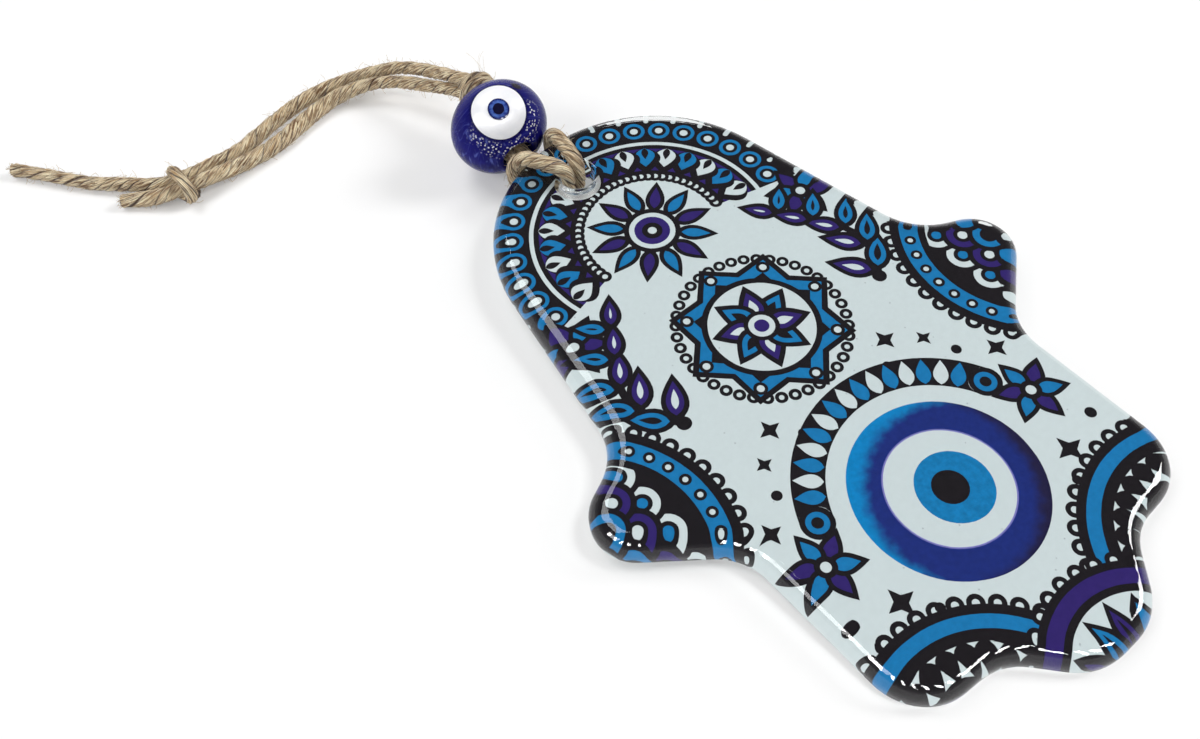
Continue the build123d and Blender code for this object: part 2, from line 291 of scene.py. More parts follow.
# Star in the upper palm
STAR = (0.0, 9.5)
lace(*STAR, 17.9, 40, 0, 360, 1.35)
for radius, colour in ((19.4, "black"), (17.6, "sky"), (14.2, "black")):
    for turn in (0, 45):
        ink(colour, star(*STAR, 4, radius, radius * 0.7071, turn))
rings(*STAR, ((12.6, "black"), (11.3, "pale")))
for spot in around(*STAR, 15.6, 8, -22.5, 337.5):
    rings(*spot[:2], ((1.5, "black"), (0.8, "pale")))
for x, y, angle, odd in around(*STAR, 0.0, 8):
    outlined_leaf(x, y, angle, 11.0, 6.4, ["indigo", "pale"] if odd else ["sky", "black"], 1.1)
rings(*STAR, ((3.8, "black"), (2.8, "pale"), (1.6, "indigo")))

THUMB_X, THUMB_Y = 60.0, -9.0
SCALE_ROWS, SCALES_IN_ROW = 7, 8
SCALE_FIRST_X, SCALE_FIRST_Y = 37.0, THUMB_Y - 26.0
SCALE_REACH = 18.6
VINE_LEAVES = 5
for side in (-1, 1):
    # Vine beside the star
    bend = np.linspace(0, 1, 30)
    stem = [(side * (28.0 + 5.0 * math.sin(4.6 * b)), 2.5 + 31.0 * b) for b in bend]
    ink("black", stroke(stem, 1.7))
    ink("black", round_dot(*stem[0], 1.6))
    for k in range(VINE_LEAVES):
        x, y = stem[1 + 6 * k]
        size = 11.5 - 0.5 * k
        for spread, colours in ((38, ["sky", "black"]), (-44, ["indigo", "pale"])):
            outlined_leaf(x, y, 90 - side * spread - side * 8, size, size * 0.5, colours, 1.05)

    # Scales on the thumb
    thumb = (side * THUMB_X, THUMB_Y)
    lace(*thumb, 28.2, 46, 0, 360, 1.75)
    rings(*thumb, ((28.0, "black"), (26.0, "sky"), (22.0, "black")))
    for spot in around(*thumb, 24.0, 36):
        rings(*spot[:2], ((1.25, "black"), (0.6, "pale")))
    scales = rings(*thumb, ((20.4, "black"),))
    for row in range(SCALE_ROWS):
        for k in range(SCALES_IN_ROW):
            x = side * (SCALE_FIRST_X + 4.3 * row)
            y = SCALE_FIRST_Y + 7.4 * k + 3.7 * (row % 2)
            if math.hypot(x - thumb[0], y - thumb[1]) > SCALE_REACH:
                continue
            bands = (
                (4.7, "black"),
                (3.5, ("indigo", "sky", "pale")[row % 3]),
                (2.0, "black"),
                (1.1, ("pale", "black", "sky")[row % 3]),
            )
            rings(x, y, bands, scales)

    # Sun on the side finger
    finger = (side * 29.5, -79.0)
    lace(*finger, 26.2, 44, 0, 360, 1.7)
    rings(*finger, ((26.0, "black"), (24.2, "sky"), (21.6, "black"), (19.4, "pale")))
    for x, y, angle, _ in around(*finger, 19.8, 30):
        ink("black", leaf(x, y, angle + 180, 5.0, 4.0))
    rings(*finger, ((15.4, "black"), (14.0, "indigo"), (12.2, "black")))
    for x, y, angle, odd in around(*finger, 0.0, 14):
        outlined_leaf(x, y, angle, 11.8, 4.8, ["pale"] if odd else ["sky"], 0.85)
    rings(*finger, ((4.0, "black"), (2.6, "pale"), (1.4, "black")))

    # Loose flowers and dots on the palm
    flower(side * 28.8, -36.5, 8.2, 30)
    for x, y, size in ((23.6, -49.6, 3.2), (31.8, -25.6, 2.6), (16.4, -9.6, 2.6), (22.6, -14.4, 2.0)):
        ink("black", star(side * x, y, 4, size, 0.42 * size))
    for x, y, radius in ((33.2, -47.2, 1.2), (19.2, -54.6, 1.0), (25.4, -20.6, 1.1), (12.0, -14.2, 1.0)):
        ink("black", round_dot(side * x, y, radius))

# Long leaves on the middle finger
TIP = (0.0, -86.0)
lace(*TIP, 20.6, 34, 0, 360, 1.6)
rings(*TIP, ((20.4, "black"), (18.9, "indigo"), (16.0, "black"), (14.6, "pale")))
for x, y, angle, odd in around(*TIP, 0.0, 16):
    outlined_leaf(x, y, angle, 14.4, 5.6, ["indigo" if odd else "sky", "black"], 1.0)
rings(*TIP, ((4.6, "black"), (3.0, "pale")))

# The round eye in the palm, under a garland
EYE_X, EYE_Y, EYE_RADIUS = 0.0, -40.0, 18.8
ink("black", arch(EYE_X, EYE_Y, 22.6, 29.2, 24, 156))
for x, y, angle, odd in around(EYE_X, EYE_Y, 22.9, 17, 24, 156):
    ink("sky" if odd else "pale", leaf(x, y, angle, 5.9, 3.0))
for spot in around(EYE_X, EYE_Y, 25.9, 2, -42, 222):
    rings(*spot[:2], ((3.4, "black"), (2.3, "sky"), (1.2, "black")))
for share, colour, stray in (
    (1.07, "pale", 0.0),
    (1.0, "cobalt", 0.0),
    (0.666, "lilac", 0.3),
    (0.650, "pale", 0.3),
    (0.403, "turquoise", 1.3),
    (0.19, "black", 0.5),
):
    ink(colour, round_dot(EYE_X + 0.8 * stray, EYE_Y - 0.6 * stray, EYE_RADIUS * share))


def cut_sheet():
    """All shapes cut against each other: flat points, triangles and the colour on top of each."""
    points, faces = [], []
    for _, corners, _ in shapes:
        faces.append(list(range(len(points), len(points) + len(corners))))
        points.extend(Vector(c) for c in corners)
    cut = geometry.delaunay_2d_cdt(points, [], faces, 1, 1e-4)
    kept, colours = [], []
    for triangle, below in zip(cut[2], cut[5]):
        held = set(below)
        if GROUND not in held or HOLE in held:
            continue
        top = max(n for n in held if shapes[n][2] is None or shapes[n][2] in held)
        kept.append(triangle)
        colours.append(shapes[top][0])
    return cut[0], kept, colours


ink_tone = bpy.data.node_groups.new("ink_tone", "ShaderNodeTree")
for name, kind, way in (
    ("Ink", "NodeSocketColor", "INPUT"),
    ("Mottle", "NodeSocketFloat", "INPUT"),
    ("Dust", "NodeSocketFloat", "INPUT"),
    ("Colour", "NodeSocketColor", "OUTPUT"),
):
    ink_tone.interface.new_socket(name=name, in_out=way, socket_type=kind)
add = adder(ink_tone)
given = add("NodeGroupInput").outputs
place = add("ShaderNodeTexCoord").outputs["Object"]
grain = ranged(add, noise(add, place, 900.0, 4.0), 0.3, 0.7, -1.0, 1.0)
strength = worked(add, "MULTIPLY_ADD", grain, given["Mottle"], 1.0)
shaded = add("ShaderNodeVectorMath", {0: given["Ink"], "Scale": strength}, operation="SCALE")
specks = add("ShaderNodeTexVoronoi", {"Vector": place, "Scale": 330.0}).outputs["Distance"]
dusty = worked(add, "MULTIPLY", ranged(add, specks, 0.03, 0.075, 1.0, 0.0), given["Dust"])
add("NodeGroupOutput", {"Colour": mixed(add, dusty, shaded.outputs[0], srgb(120, 130, 140))})


def ink_finish(name, colour, mottle, dust=0.0):
    """Printing ink under glass: a colour with a print's uneven tone, and dust where the ground is bare."""
    material, tree, print_shader, add = finish_of(name)
    values = {"Dust": dust, "Mottle": mottle, "Ink": colour}
    tone = add("ShaderNodeGroup", values, node_tree=ink_tone, name="tone")
    tree.links.new(tone.outputs["Colour"], print_shader.inputs["Base Color"])
    print_shader.inputs["Roughness"].default_value = 0.5
    print_shader.inputs["Specular IOR Level"].default_value = 0.0
    return material


COBALT = srgb(30, 46, 119)
inks = {
    "pale": ink_finish("film_ground", srgb(206, 217, 219), 0.02, 0.55),
    "black": ink_finish("black_ink", srgb(28, 25, 29), 0.12),
    "sky": ink_finish("sky_blue_ink", srgb(26, 118, 176), 0.08),
    "indigo": ink_finish("indigo_ink", srgb(50, 36, 106), 0.08),
    "cobalt": ink_finish("cobalt_ink", COBALT, 0.10),
    "lilac": ink_finish("lilac_ink", srgb(120, 120, 190), 0.05),
    "turquoise": ink_finish("turquoise_ink", srgb(22, 120, 178), 0.16),
}

# The eye's dark ring was coloured by hand: wet turquoise on its outer side, a dull dark edge across from it.
# A wash lies outside a circle: which way, in degrees, then the circle's shift and radius, and the colour.
WASH_STRAY = 3.0
WASH_INNER, WASH_OUTER = 1.9, 1.3
WASHES = ((126, 4.7, 20.4, srgb(14, 128, 192)), (-38, 3.6, 20.3, srgb(34, 31, 64)))
tree = inks["cobalt"].node_tree
add = adder(tree)
place = add("ShaderNodeTexCoord").outputs["Object"]
cloud = add("ShaderNodeTexNoise", {"Vector": place, "Scale": 420.0, "Detail": 5.0}).outputs["Color"]
wander = (WASH_STRAY * MM, WASH_STRAY * MM, 0.0)
strayed = add("ShaderNodeVectorMath", {0: cloud, 1: wander, 2: place}, operation="MULTIPLY_ADD").outputs[0]
washed = COBALT
for angle, shift, radius, colour in WASHES:
    turn = math.radians(angle)
    x = EYE_X - shift * math.cos(turn) + WASH_STRAY / 2
    y = EYE_Y - shift * math.sin(turn) + WASH_STRAY / 2
    middle = plate @ (Vector((x, y, 0)) * MM)
    away = add("ShaderNodeVectorMath", {0: strayed, 1: middle}, operation="DISTANCE").outputs["Value"]
    wet = ranged(add, away, (radius - WASH_INNER) * MM, (radius + WASH_OUTER) * MM, way="SMOOTHSTEP")
    washed = mixed(add, wet, washed, colour)
tree.links.new(washed, tree.nodes["tone"].inputs["Ink"])

flat, triangles, colours = cut_sheet()
order = list(inks)
sheet = bmesh.new()
front = [sheet.verts.new((p.x * MM, p.y * MM, FILM_FRONT * MM)) for p in flat]
for triangle, colour in zip(triangles, colours):
    sheet.faces.new([front[n] for n in triangle]).material_index = order.index(colour)
bmesh.ops.delete(sheet, geom=[v for v in sheet.verts if not v.link_faces], context="VERTS")
for f in sheet.faces:
    if f.normal.z < 0:
        f.normal_flip()
walls = bmesh.ops.extrude_face_region(sheet, geom=list(sheet.faces), use_keep_orig=True)
lowered = [v for v in walls["geom"] if isinstance(v, bmesh.types.BMVert)]
for v in lowered:
    v.co.z = FILM_BACK * MM
for f in sheet.faces:
    if any(v.co.z < 0 for v in f.verts):
        f.material_index = 0
back_edges = [e for e in sheet.edges if all(v.co.z < 0 for v in e.verts)]
bmesh.ops.dissolve_limit(sheet, angle_limit=0.01, verts=lowered, edges=back_edges)
bmesh.ops.recalc_face_normals(sheet, faces=sheet.faces)
bmesh.ops.transform(sheet, matrix=plate, verts=sheet.verts)
film_mesh = bpy.data.meshes.new("printed_film")
sheet.to_mesh(film_mesh)
sheet.free()
for name in order:
    film_mesh.materials.append(inks[name])
printed_film = bpy.data.objects.new("printed_film", film_mesh)
bpy.context.scene.collection.objects.link(printed_film)
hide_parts("print_film")
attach(printed_film, "hand")

# Jute cord: five plies of tan bast fibre twisted to the left into a cord of 3 mm.
# One length, folded in two: this is the outer half, from the stop knot to its cut end.
PLIES = 5
PLY_RADIUS = 0.94 * MM
PLY_CENTRE = 0.66 * MM
PLY_SIDES = 16
PLY_DRIFT, DRIFT_RUN = 0.2, 11 * MM
PLY_STRAY = 0.012
FIBRE_PITCH = 2.6 * MM
TWIST_PITCH = 9.6 * MM
RING_STEP = 0.3 * MM
TABLE_TOP = 0.02 * MM
SLACK_HEIGHT, SLACK_RISE = 5 * MM, 3 * MM
OPENED_END = 7 * MM


def evenly(line):
    """A line's course in steps of the cord's rings."""
    along = np.concatenate([[0], np.cumsum(np.linalg.norm(np.diff(line, axis=0), axis=1))])
    even = np.linspace(0, along[-1], int(along[-1] / RING_STEP) + 1)
    return np.column_stack([np.interp(even, along, line[:, k]) for k in range(3)])


def cord_line(name, points):
    """Even points along a smooth line whose control points are given in millimetres."""
    curve = bpy.data.curves.new(name, "CURVE")
    curve.dimensions = "3D"
    spline = curve.splines.new("NURBS")
    spline.points.add(len(points) - 1)
    for point, place in zip(spline.points, points):
        point.co = (place[0] * MM, place[1] * MM, place[2] * MM, 1)
    spline.order_u = 3
    spline.use_endpoint_u = True
    spline.resolution_u = 16
    holder = bpy.data.objects.new(name, curve)
    bpy.context.scene.collection.objects.link(holder)
    drawn = bpy.data.meshes.new_from_object(holder)
    line = np.array([v.co for v in drawn.vertices], float)
    bpy.data.objects.remove(holder)
    bpy.data.meshes.remove(drawn)
    bpy.data.curves.remove(curve)
    return evenly(line)


def carried_frames(line):
    """Two directions across a line that don't spin round it."""
    along = np.gradient(line, axis=0)
    along /= np.linalg.norm(along, axis=1)[:, None]
    first = np.cross(along[0], (0.0, 0.0, 1.0))
    if np.linalg.norm(first) < 0.1:
        first = np.cross(along[0], (1.0, 0.0, 0.0))
    across = [first / np.linalg.norm(first)]
    for direction in along[1:]:
        moved = across[-1] - direction * np.dot(across[-1], direction)
        across.append(moved / np.linalg.norm(moved))
    across = np.array(across)
    return across, np.cross(along, across)


def rope(name, line, seed, pitch=TWIST_PITCH, size=1.0):
    """A twisted cord along a line, fuller where its size is more than 1 and flat where it lies on the table.

    Its first UV map runs along and round each ply.
    The second holds how far out from the cord's middle a place is.
    """
    dice = np.random.default_rng(seed)
    size = np.broadcast_to(size, len(line))[:, None]
    across, over = carried_frames(line)
    run = np.linspace(0, np.linalg.norm(np.diff(line, axis=0), axis=1).sum(), len(line))[:, None]
    twist = np.cumsum(np.gradient(run[:, 0]) / pitch)[:, None]
    angles = 2 * math.pi * np.arange(PLY_SIDES) / PLY_SIDES
    sideways, upwards = np.cos(angles)[None, :, None], np.sin(angles)[None, :, None]
    rows = len(line)
    corners, faces, uvs, heights = [], [], [], []
    lean = dice.uniform(0, 2 * math.pi)
    for ply in range(PLIES):
        drift = PLY_DRIFT * np.sin(run / DRIFT_RUN + dice.uniform(0, 6))
        turn = lean + 2 * math.pi * (ply / PLIES - twist) + drift
        centre = line + PLY_CENTRE * size * (np.cos(turn) * across + np.sin(turn) * over)
        ply_across, ply_over = carried_frames(centre)
        slow, quick, *lobes = dice.uniform(0, 6, 5)
        swell = 1 + 0.05 * np.sin(run / (3.1 * MM) + slow) + 0.03 * np.sin(run / (1.3 * MM) + quick)
        fibre = angles + run / FIBRE_PITCH
        six_bundles = 0.04 * np.sin(6 * fibre + lobes[0])
        three_bundles = 0.035 * np.sin(3 * fibre + lobes[1] + run / (5 * MM))
        bundles = six_bundles + three_bundles
        stray = dice.normal(0, PLY_STRAY, (rows, PLY_SIDES))
        outward = sideways * ply_across[:, None] + upwards * ply_over[:, None]
        smooth = (centre - line)[:, None] + PLY_RADIUS * size[:, None] * outward
        heights.append((np.linalg.norm(smooth, axis=2) / size).ravel() / (PLY_CENTRE + PLY_RADIUS))
        radius = (PLY_RADIUS * size * swell * (1 + bundles + stray))[:, :, None]
        ring = centre[:, None] + radius * outward
        ring[:, :, 2] = np.maximum(ring[:, :, 2], TABLE_TOP)
        first = ply * rows * PLY_SIDES
        corners.extend(map(tuple, ring.reshape(-1, 3)))
        for i in range(rows - 1):
            for k in range(PLY_SIDES):
                a, b = first + i * PLY_SIDES + k, first + i * PLY_SIDES + (k + 1) % PLY_SIDES
                faces.append((a, b, b + PLY_SIDES, a + PLY_SIDES))
                u, v = run[i : i + 2, 0], (k / PLY_SIDES, (k + 1) / PLY_SIDES)
                uvs.extend([(u[0], v[0]), (u[0], v[1]), (u[1], v[1]), (u[1], v[0])])
        for end, turned in ((0, True), (rows - 1, False)):
            loop = [first + end * PLY_SIDES + k for k in range(PLY_SIDES)]
            faces.append(tuple(loop[::-1] if turned else loop))
            uvs.extend([(run[end, 0], k / PLY_SIDES) for k in range(PLY_SIDES)])
    mesh = bpy.data.meshes.new(name)
    mesh.from_pydata(corners, [], faces)
    layer = mesh.uv_layers.new(name="fibre")
    layer.data.foreach_set("uv", np.array(uvs, np.float32).ravel())
    corner_of = np.empty(len(mesh.loops), int)
    mesh.loops.foreach_get("vertex_index", corner_of)
    height = np.concatenate(heights)[corner_of]
    layer = mesh.uv_layers.new(name="height")
    layer.data.foreach_set("uv", np.column_stack([height, height]).astype(np.float32).ravel())
    mesh.polygons.foreach_set("use_smooth", [True] * len(faces))
    mesh.materials.append(jute)
    made = bpy.data.objects.new(name, mesh)
    bpy.context.scene.collection.objects.link(made)
    return made


def stands_for(piece, *cad_nodes):
    """Puts a jute piece in the place of its CAD solids."""
    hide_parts(*cad_nodes)
    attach(piece, "cord")


def fullness(line, thin_end, gain):
    """The cord's size along a line.

    It is fuller where it lies slack on the table, thin near its cut end, and opened out at that end.
    """
    left = np.linalg.norm(line[-1] - line, axis=1)
    low = np.clip((SLACK_HEIGHT - line[:, 2]) / SLACK_RISE, 0, 1)
    slack = low * np.clip(left / thin_end - 0.2, 0, 1)
    return 1.03 + gain * slack + 0.14 * np.clip(1 - left / OPENED_END, 0, 1) ** 2


def loosening(line, loose_end):
    """The twist's pitch along a line: it opens towards the cut end."""
    left = np.linalg.norm(line[-1] - line, axis=1)
    return TWIST_PITCH * (1 + 1.1 * np.clip(1 - left / loose_end, 0, 1))


jute, tree, bast, add = finish_of("jute")
fibre_map = add("ShaderNodeUVMap", uv_map="fibre").outputs[0]
laid = add("ShaderNodeMapping", {"Vector": fibre_map, "Scale": (260.0, 14.0, 1.0)}).outputs[0]
skewed = add("ShaderNodeMapping", {"Vector": laid, "Rotation": (0, 0, 0.35)}).outputs[0]
fine = add("ShaderNodeMapping", {"Vector": skewed, "Scale": (0.7, 3.0, 1.0)}).outputs[0]
bundle = noise(add, skewed, 1.0, 5.0, roughness=0.62)
hair = noise(add, fine, 1.0, 3.0)
patch = noise(add, add("ShaderNodeTexCoord").outputs["Object"], 160.0)
straw = mixed(add, ranged(add, hair, 0.38, 0.60), srgb(184, 143, 90), srgb(255, 245, 212))
streaked = mixed(add, ranged(add, bundle, 0.42, 0.54), srgb(106, 71, 34), straw)
weathered = mixed(add, ranged(add, patch, 0.35, 0.7, 0.0, 0.25), streaked, srgb(222, 198, 160))
# Painted shade: thin dark lines in the grooves where the plies meet, here wider and there closed
level = add("ShaderNodeSeparateXYZ", {0: add("ShaderNodeUVMap", uv_map="height").outputs[0]}).outputs["X"]
ragged = worked(add, "MULTIPLY_ADD", bundle, 0.06, level)
groove_shade = ranged(add, ragged, 0.914, 0.962, 0.95, 0.0)
tree.links.new(mixed(add, groove_shade, weathered, srgb(74, 45, 18)), bast.inputs["Base Color"])
relief = worked(add, "ADD", worked(add, "ADD", bundle, hair), worked(add, "MULTIPLY", groove_shade, -1.2))
grooves = add("ShaderNodeBump", {"Height": relief, "Strength": 0.9, "Distance": 0.0004})
tree.links.new(grooves.outputs["Normal"], bast.inputs["Normal"])
bast.inputs["Roughness"].default_value = 0.78
bast.inputs["Specular IOR Level"].default_value = 0.25
bast.inputs["Sheen Weight"].default_value = 0.25
bast.inputs["Sheen Roughness"].default_value = 0.5

OUTER_POINTS = [
    (-3.9, 105.5, 14.3),
    (-3.9, 108.4, 14.5),
    (-5.2, 111.5, 13.9),
    (-6.1, 115.7, 13.0),
    (-7.4, 121.1, 11.7),
    (-9.2, 128.5, 9.6),
    (-12.3, 135.3, 7.2),
    (-17.8, 141.2, 4.8),
    (-25.2, 145.7, 2.8),
    (-34.0, 147.2, 1.9),
    (-42.2, 145.3, 1.8),
    (-48.9, 143.3, 1.8),
    (-55.8, 140.6, 2.3),
    (-63.3, 139.8, 3.4),
    (-68.0, 139.8, 3.7),
    (-75.0, 140.8, 3.6),
    (-79.6, 145.4, 3.0),
    (-83.6, 150.8, 2.2),
    (-88.0, 155.5, 1.8),
    (-91.8, 160.4, 1.8),
    (-95.3, 165.8, 1.8),
    (-99.0, 171.4, 1.8),
    (-102.7, 176.4, 1.8),
]
outer_line = cord_line("outer_cord_line", OUTER_POINTS)
outer_pitch = loosening(outer_line, 55 * MM)
outer_size = fullness(outer_line, 32 * MM, 0.14)
outer_cord = rope("outer_cord", outer_line, 11, outer_pitch, outer_size)
stands_for(outer_cord, "strand_outer", "tail_long")

# Inner half of the cord, beside the outer one, of the same jute.
# It leaves the stop knot under the outer half and ends in the short cut end.
INNER_POINTS = [
    (-4.8, 106.3, 11.2),
    (-5.4, 109.3, 10.8),
    (-6.6, 112.7, 10.4),
    (-8.3, 116.2, 9.9),
    (-10.5, 120.9, 9.2),
    (-12.8, 126.9, 8.0),
    (-15.4, 132.4, 6.3),
    (-19.4, 137.4, 4.6),
    (-25.8, 140.8, 2.9),
    (-33.6, 140.6, 1.9),
    (-41.1, 138.4, 1.8),
    (-48.7, 136.2, 1.8),
    (-55.9, 136.0, 2.1),
    (-64.4, 135.6, 3.4),
    (-68.8, 136.0, 3.7),
    (-75.5, 137.6, 3.5),
    (-79.3, 139.9, 2.6),
    (-82.6, 142.9, 1.9),
    (-86.0, 145.5, 1.8),
]
inner_line = cord_line("inner_cord_line", INNER_POINTS)
inner_pitch = loosening(inner_line, 12 * MM)
inner_size = fullness(inner_line, 6 * MM, 0.26)
inner_cord = rope("inner_cord", inner_line, 23, inner_pitch, inner_size)
stands_for(inner_cord, "strand_inner", "tail_short")

# Hitch: the cord's folded middle. Both strands come out of the bead, run under the hand, up through
# the hole and over the front, hook over the rim as two loops, and the loops cross behind the strands.
# Each corner of the hitch's course in millimetres, and the radius of the bend there.
HITCH_CORNERS = [
    (-7.60, 101.97, 13.45, 0),
    (-10.02, 82.23, 8.12, 2.8),
    (-7.35, 79.99, 4.88, 2.8),
    (-5.37, 67.51, 4.35, 3.0),
    (-5.37, 67.10, 13.79, 3.0),
    (-11.98, 80.07, 14.34, 6.1),
    (-11.98, 80.62, 1.70, 5.2),
    (0.31, 82.25, 1.77, 5.2),
    (0.31, 81.70, 14.41, 6.1),
    (-2.01, 67.63, 13.81, 3.0),
    (-2.01, 68.04, 4.37, 3.0),
    (-3.99, 80.52, 4.90, 2.8),
    (-6.65, 81.81, 8.12, 2.8),
    (-4.23, 101.55, 13.45, 0),
]
BEND_POINTS = 13
LOOP_FULLNESS = 0.14
FRONT_HEIGHT, FRONT_EDGE, FRONT_RISE = 11.0 * MM, 80.0 * MM, 3.0 * MM


def bent_line(corners):
    """Even points along straight runs that round bends join."""
    places = [Vector(corner[:3]) * MM for corner in corners]
    line = [places[0]]
    for before, at, after, corner in zip(places, places[1:], places[2:], corners[1:]):
        back, ahead = (before - at).normalized(), (after - at).normalized()
        half = back.angle(ahead) / 2
        radius = corner[3] * MM
        middle = at + (back + ahead).normalized() * (radius / math.sin(half))
        first = at + back * (radius / math.tan(half)) - middle
        last = at + ahead * (radius / math.tan(half)) - middle
        for share in np.linspace(0, 1, BEND_POINTS):
            line.append(middle + first.slerp(last, share).normalized() * radius)
    line.append(places[-1])
    return evenly(np.array([tuple(p) for p in line]))


hitch_line = bent_line(HITCH_CORNERS)
above_glass = np.clip((hitch_line[:, 2] - FRONT_HEIGHT) / FRONT_RISE, 0, 1)
inside_rim = np.clip((FRONT_EDGE - hitch_line[:, 1]) / FRONT_RISE, 0, 1)
over_front = above_glass * inside_rim
smooth_rise = over_front**2 * (3 - 2 * over_front)
hitch = rope("hitch_cord", hitch_line, 37, size=1.0 + LOOP_FULLNESS * smooth_rise)
stands_for(hitch, "cord_hitch")

# Eye bead: cobalt glass wound on a wire, with a white, a blue and a dark dot melted into it.
# It is strung on both strands and turns on them. The dots are separate glasses.
BEAD_CENTRE = Vector((-7.139, 91.777, 11.794)) * MM
BEAD_RADIUS = 11.9 * MM
BORE = Vector((0.117717, 0.958726, 0.258819))
EYE = Vector((0, 0, 1))
EYE.rotate(Matrix.Rotation(math.radians(-11), 3, "Y"))
EYE.rotate(Matrix.Rotation(math.radians(28), 3, "X"))


def bead_place(add, axis):
    """Coordinates about the bead's centre, in bead radii, with their third along an axis."""
    turn = axis.to_track_quat("Z", "Y").to_matrix().inverted().to_euler()
    place = add("ShaderNodeTexCoord").outputs["Object"]
    centred = add("ShaderNodeVectorMath", {0: place, 1: BEAD_CENTRE}, operation="SUBTRACT").outputs[0]
    scale = (1 / BEAD_RADIUS,) * 3
    return add("ShaderNodeMapping", {"Vector": centred, "Rotation": turn, "Scale": scale}).outputs[0]


def off_axis(add, place):
    """How far a place is from its third axis."""
    flat = add("ShaderNodeVectorMath", {0: place, 1: (1, 1, 0)}, operation="MULTIPLY").outputs[0]
    return add("ShaderNodeVectorMath", {0: flat}, operation="LENGTH").outputs["Value"]


def mark_on_bead(add, direction, inner, outer):
    """A soft round mask about a spot on the bead's surface, given by its direction from the centre."""
    place = add("ShaderNodeTexCoord").outputs["Object"]
    spot = BEAD_CENTRE + Vector(direction).normalized() * BEAD_RADIUS
    away = add("ShaderNodeVectorMath", {0: place, 1: spot}, operation="DISTANCE").outputs["Value"]
    return ranged(add, away, inner * MM, outer * MM, 1.0, 0.0, "SMOOTHSTEP")


cobalt_glass, tree, wound, add = finish_of("cobalt_glass")
on_bore = bead_place(add, BORE)
on_eye = bead_place(add, EYE)
threads = add("ShaderNodeMapping", {"Vector": on_bore, "Scale": (0.8, 0.8, 13.0)}).outputs[0]
winding = noise(add, threads, 1.6, 6.0, roughness=0.62)
clouds = noise(add, on_bore, 1.7, 3.0, distortion=0.8)
deep = mixed(add, clouds, srgb(6, 4, 70), srgb(26, 24, 132))
threaded = mixed(add, ranged(add, winding, 0.54, 0.80, 0.0, 0.7), deep, srgb(76, 84, 172))

# Pale wisps on the low left side: partly streaks where the molten glass ran, partly painted highlights where
# that side catches the light
trails = add("ShaderNodeMapping", {"Vector": on_eye, "Scale": (3.2, 3.2, 0.5)}).outputs[0]
wisps_and_highlights = ranged(add, noise(add, trails, 2.2, 3.0, distortion=1.2), 0.54, 0.70, 0.0, 0.75)
low_left = mark_on_bead(add, (-0.85, -0.5, 0.1), 3.0, 11.0)
streaked = mixed(add, worked(add, "MULTIPLY", wisps_and_highlights, low_left), threaded, srgb(104, 118, 204))

# A dark ring round the white dot, and pits in an arc under it, with painted glints: white specks in the
# colour that stand for reflections of small lamps
from_eye = off_axis(add, on_eye)
dark_ring = ranged(add, from_eye, 0.535, 0.60, 0.75, 0.0)
dark_ringed = mixed(add, dark_ring, streaked, srgb(12, 10, 50))
pits = add("ShaderNodeTexVoronoi", {"Vector": on_eye, "Scale": 18.0}).outputs["Distance"]
pitted = ranged(add, pits, 0.26, 0.40, 1.0, 0.0)
chosen = ranged(add, noise(add, on_eye, 9.0, 1.0), 0.36, 0.44)
past_dark_ring = ranged(add, from_eye, 0.57, 0.62)
near_eye = ranged(add, from_eye, 0.70, 0.82, 1.0, 0.0)
arc = worked(add, "MULTIPLY", past_dark_ring, near_eye)
low_patch = mark_on_bead(add, (-0.45, -0.82, 0.28), 5.0, 10.0)
right_patch = mark_on_bead(add, (0.26, -0.84, 0.42), 3.5, 7.0)
lower_side = worked(add, "MAXIMUM", low_patch, right_patch)
lit_pits = worked(add, "MULTIPLY", pitted, chosen)
painted_glints = worked(add, "MULTIPLY", lit_pits, worked(add, "MULTIPLY", arc, lower_side))
# Painted glints: the chosen pits in the arc turn white in the colour, for the reflections of small lamps.
glint_painted = mixed(add, painted_glints, dark_ringed, srgb(255, 255, 255))
scorched = mixed(add, mark_on_bead(add, (0.46, -0.16, 0.87), 0.7, 1.9), glint_painted, srgb(34, 28, 40))
uneven_height = worked(add, "MULTIPLY_ADD", painted_glints, 0.5, winding)
uneven = add("ShaderNodeBump", {"Height": uneven_height, "Strength": 0.45, "Distance": 0.0005})
tree.links.new(scorched, wound.inputs["Base Color"])
tree.links.new(uneven.outputs["Normal"], wound.inputs["Normal"])
wound.inputs["Roughness"].default_value = 0.12
wound.inputs["Specular IOR Level"].default_value = 0.06

white_glass, tree, milk, add = finish_of("white_glass")
on_eye = bead_place(add, EYE)
milky = mixed(add, noise(add, on_eye, 9.0, 4.0), srgb(236, 237, 243), srgb(253, 253, 254))
tree.links.new(milky, milk.inputs["Base Color"])
dimpled = noise(add, on_eye, 20.0, 2.0)
dimples = add("ShaderNodeBump", {"Height": dimpled, "Strength": 0.2, "Distance": 0.0003})
tree.links.new(dimples.outputs["Normal"], milk.inputs["Normal"])
milk.inputs["Roughness"].default_value = 0.3

blue_glass, tree, iris, add = finish_of("blue_glass")
on_eye = bead_place(add, EYE)
ring = off_axis(add, on_eye)
swirl = noise(add, on_eye, 14.0, 3.0)
inner_blue = mixed(add, ranged(add, swirl, 0.35, 0.65), srgb(38, 56, 140), srgb(84, 118, 196))
blues = mixed(add, ranged(add, ring, 0.155, 0.195), inner_blue, srgb(18, 22, 84))
tree.links.new(blues, iris.inputs["Base Color"])
iris.inputs["Roughness"].default_value = 0.1
iris.inputs["Specular IOR Level"].default_value = 0.3

dark_glass, tree, pupil, add = finish_of("dark_glass")
on_eye = bead_place(add, EYE)
darks = mixed(add, noise(add, on_eye, 16.0, 2.0), srgb(8, 7, 26), srgb(24, 22, 62))
tree.links.new(darks, pupil.inputs["Base Color"])
pupil.inputs["Roughness"].default_value = 0.08
pupil.inputs["Specular IOR Level"].default_value = 0.3

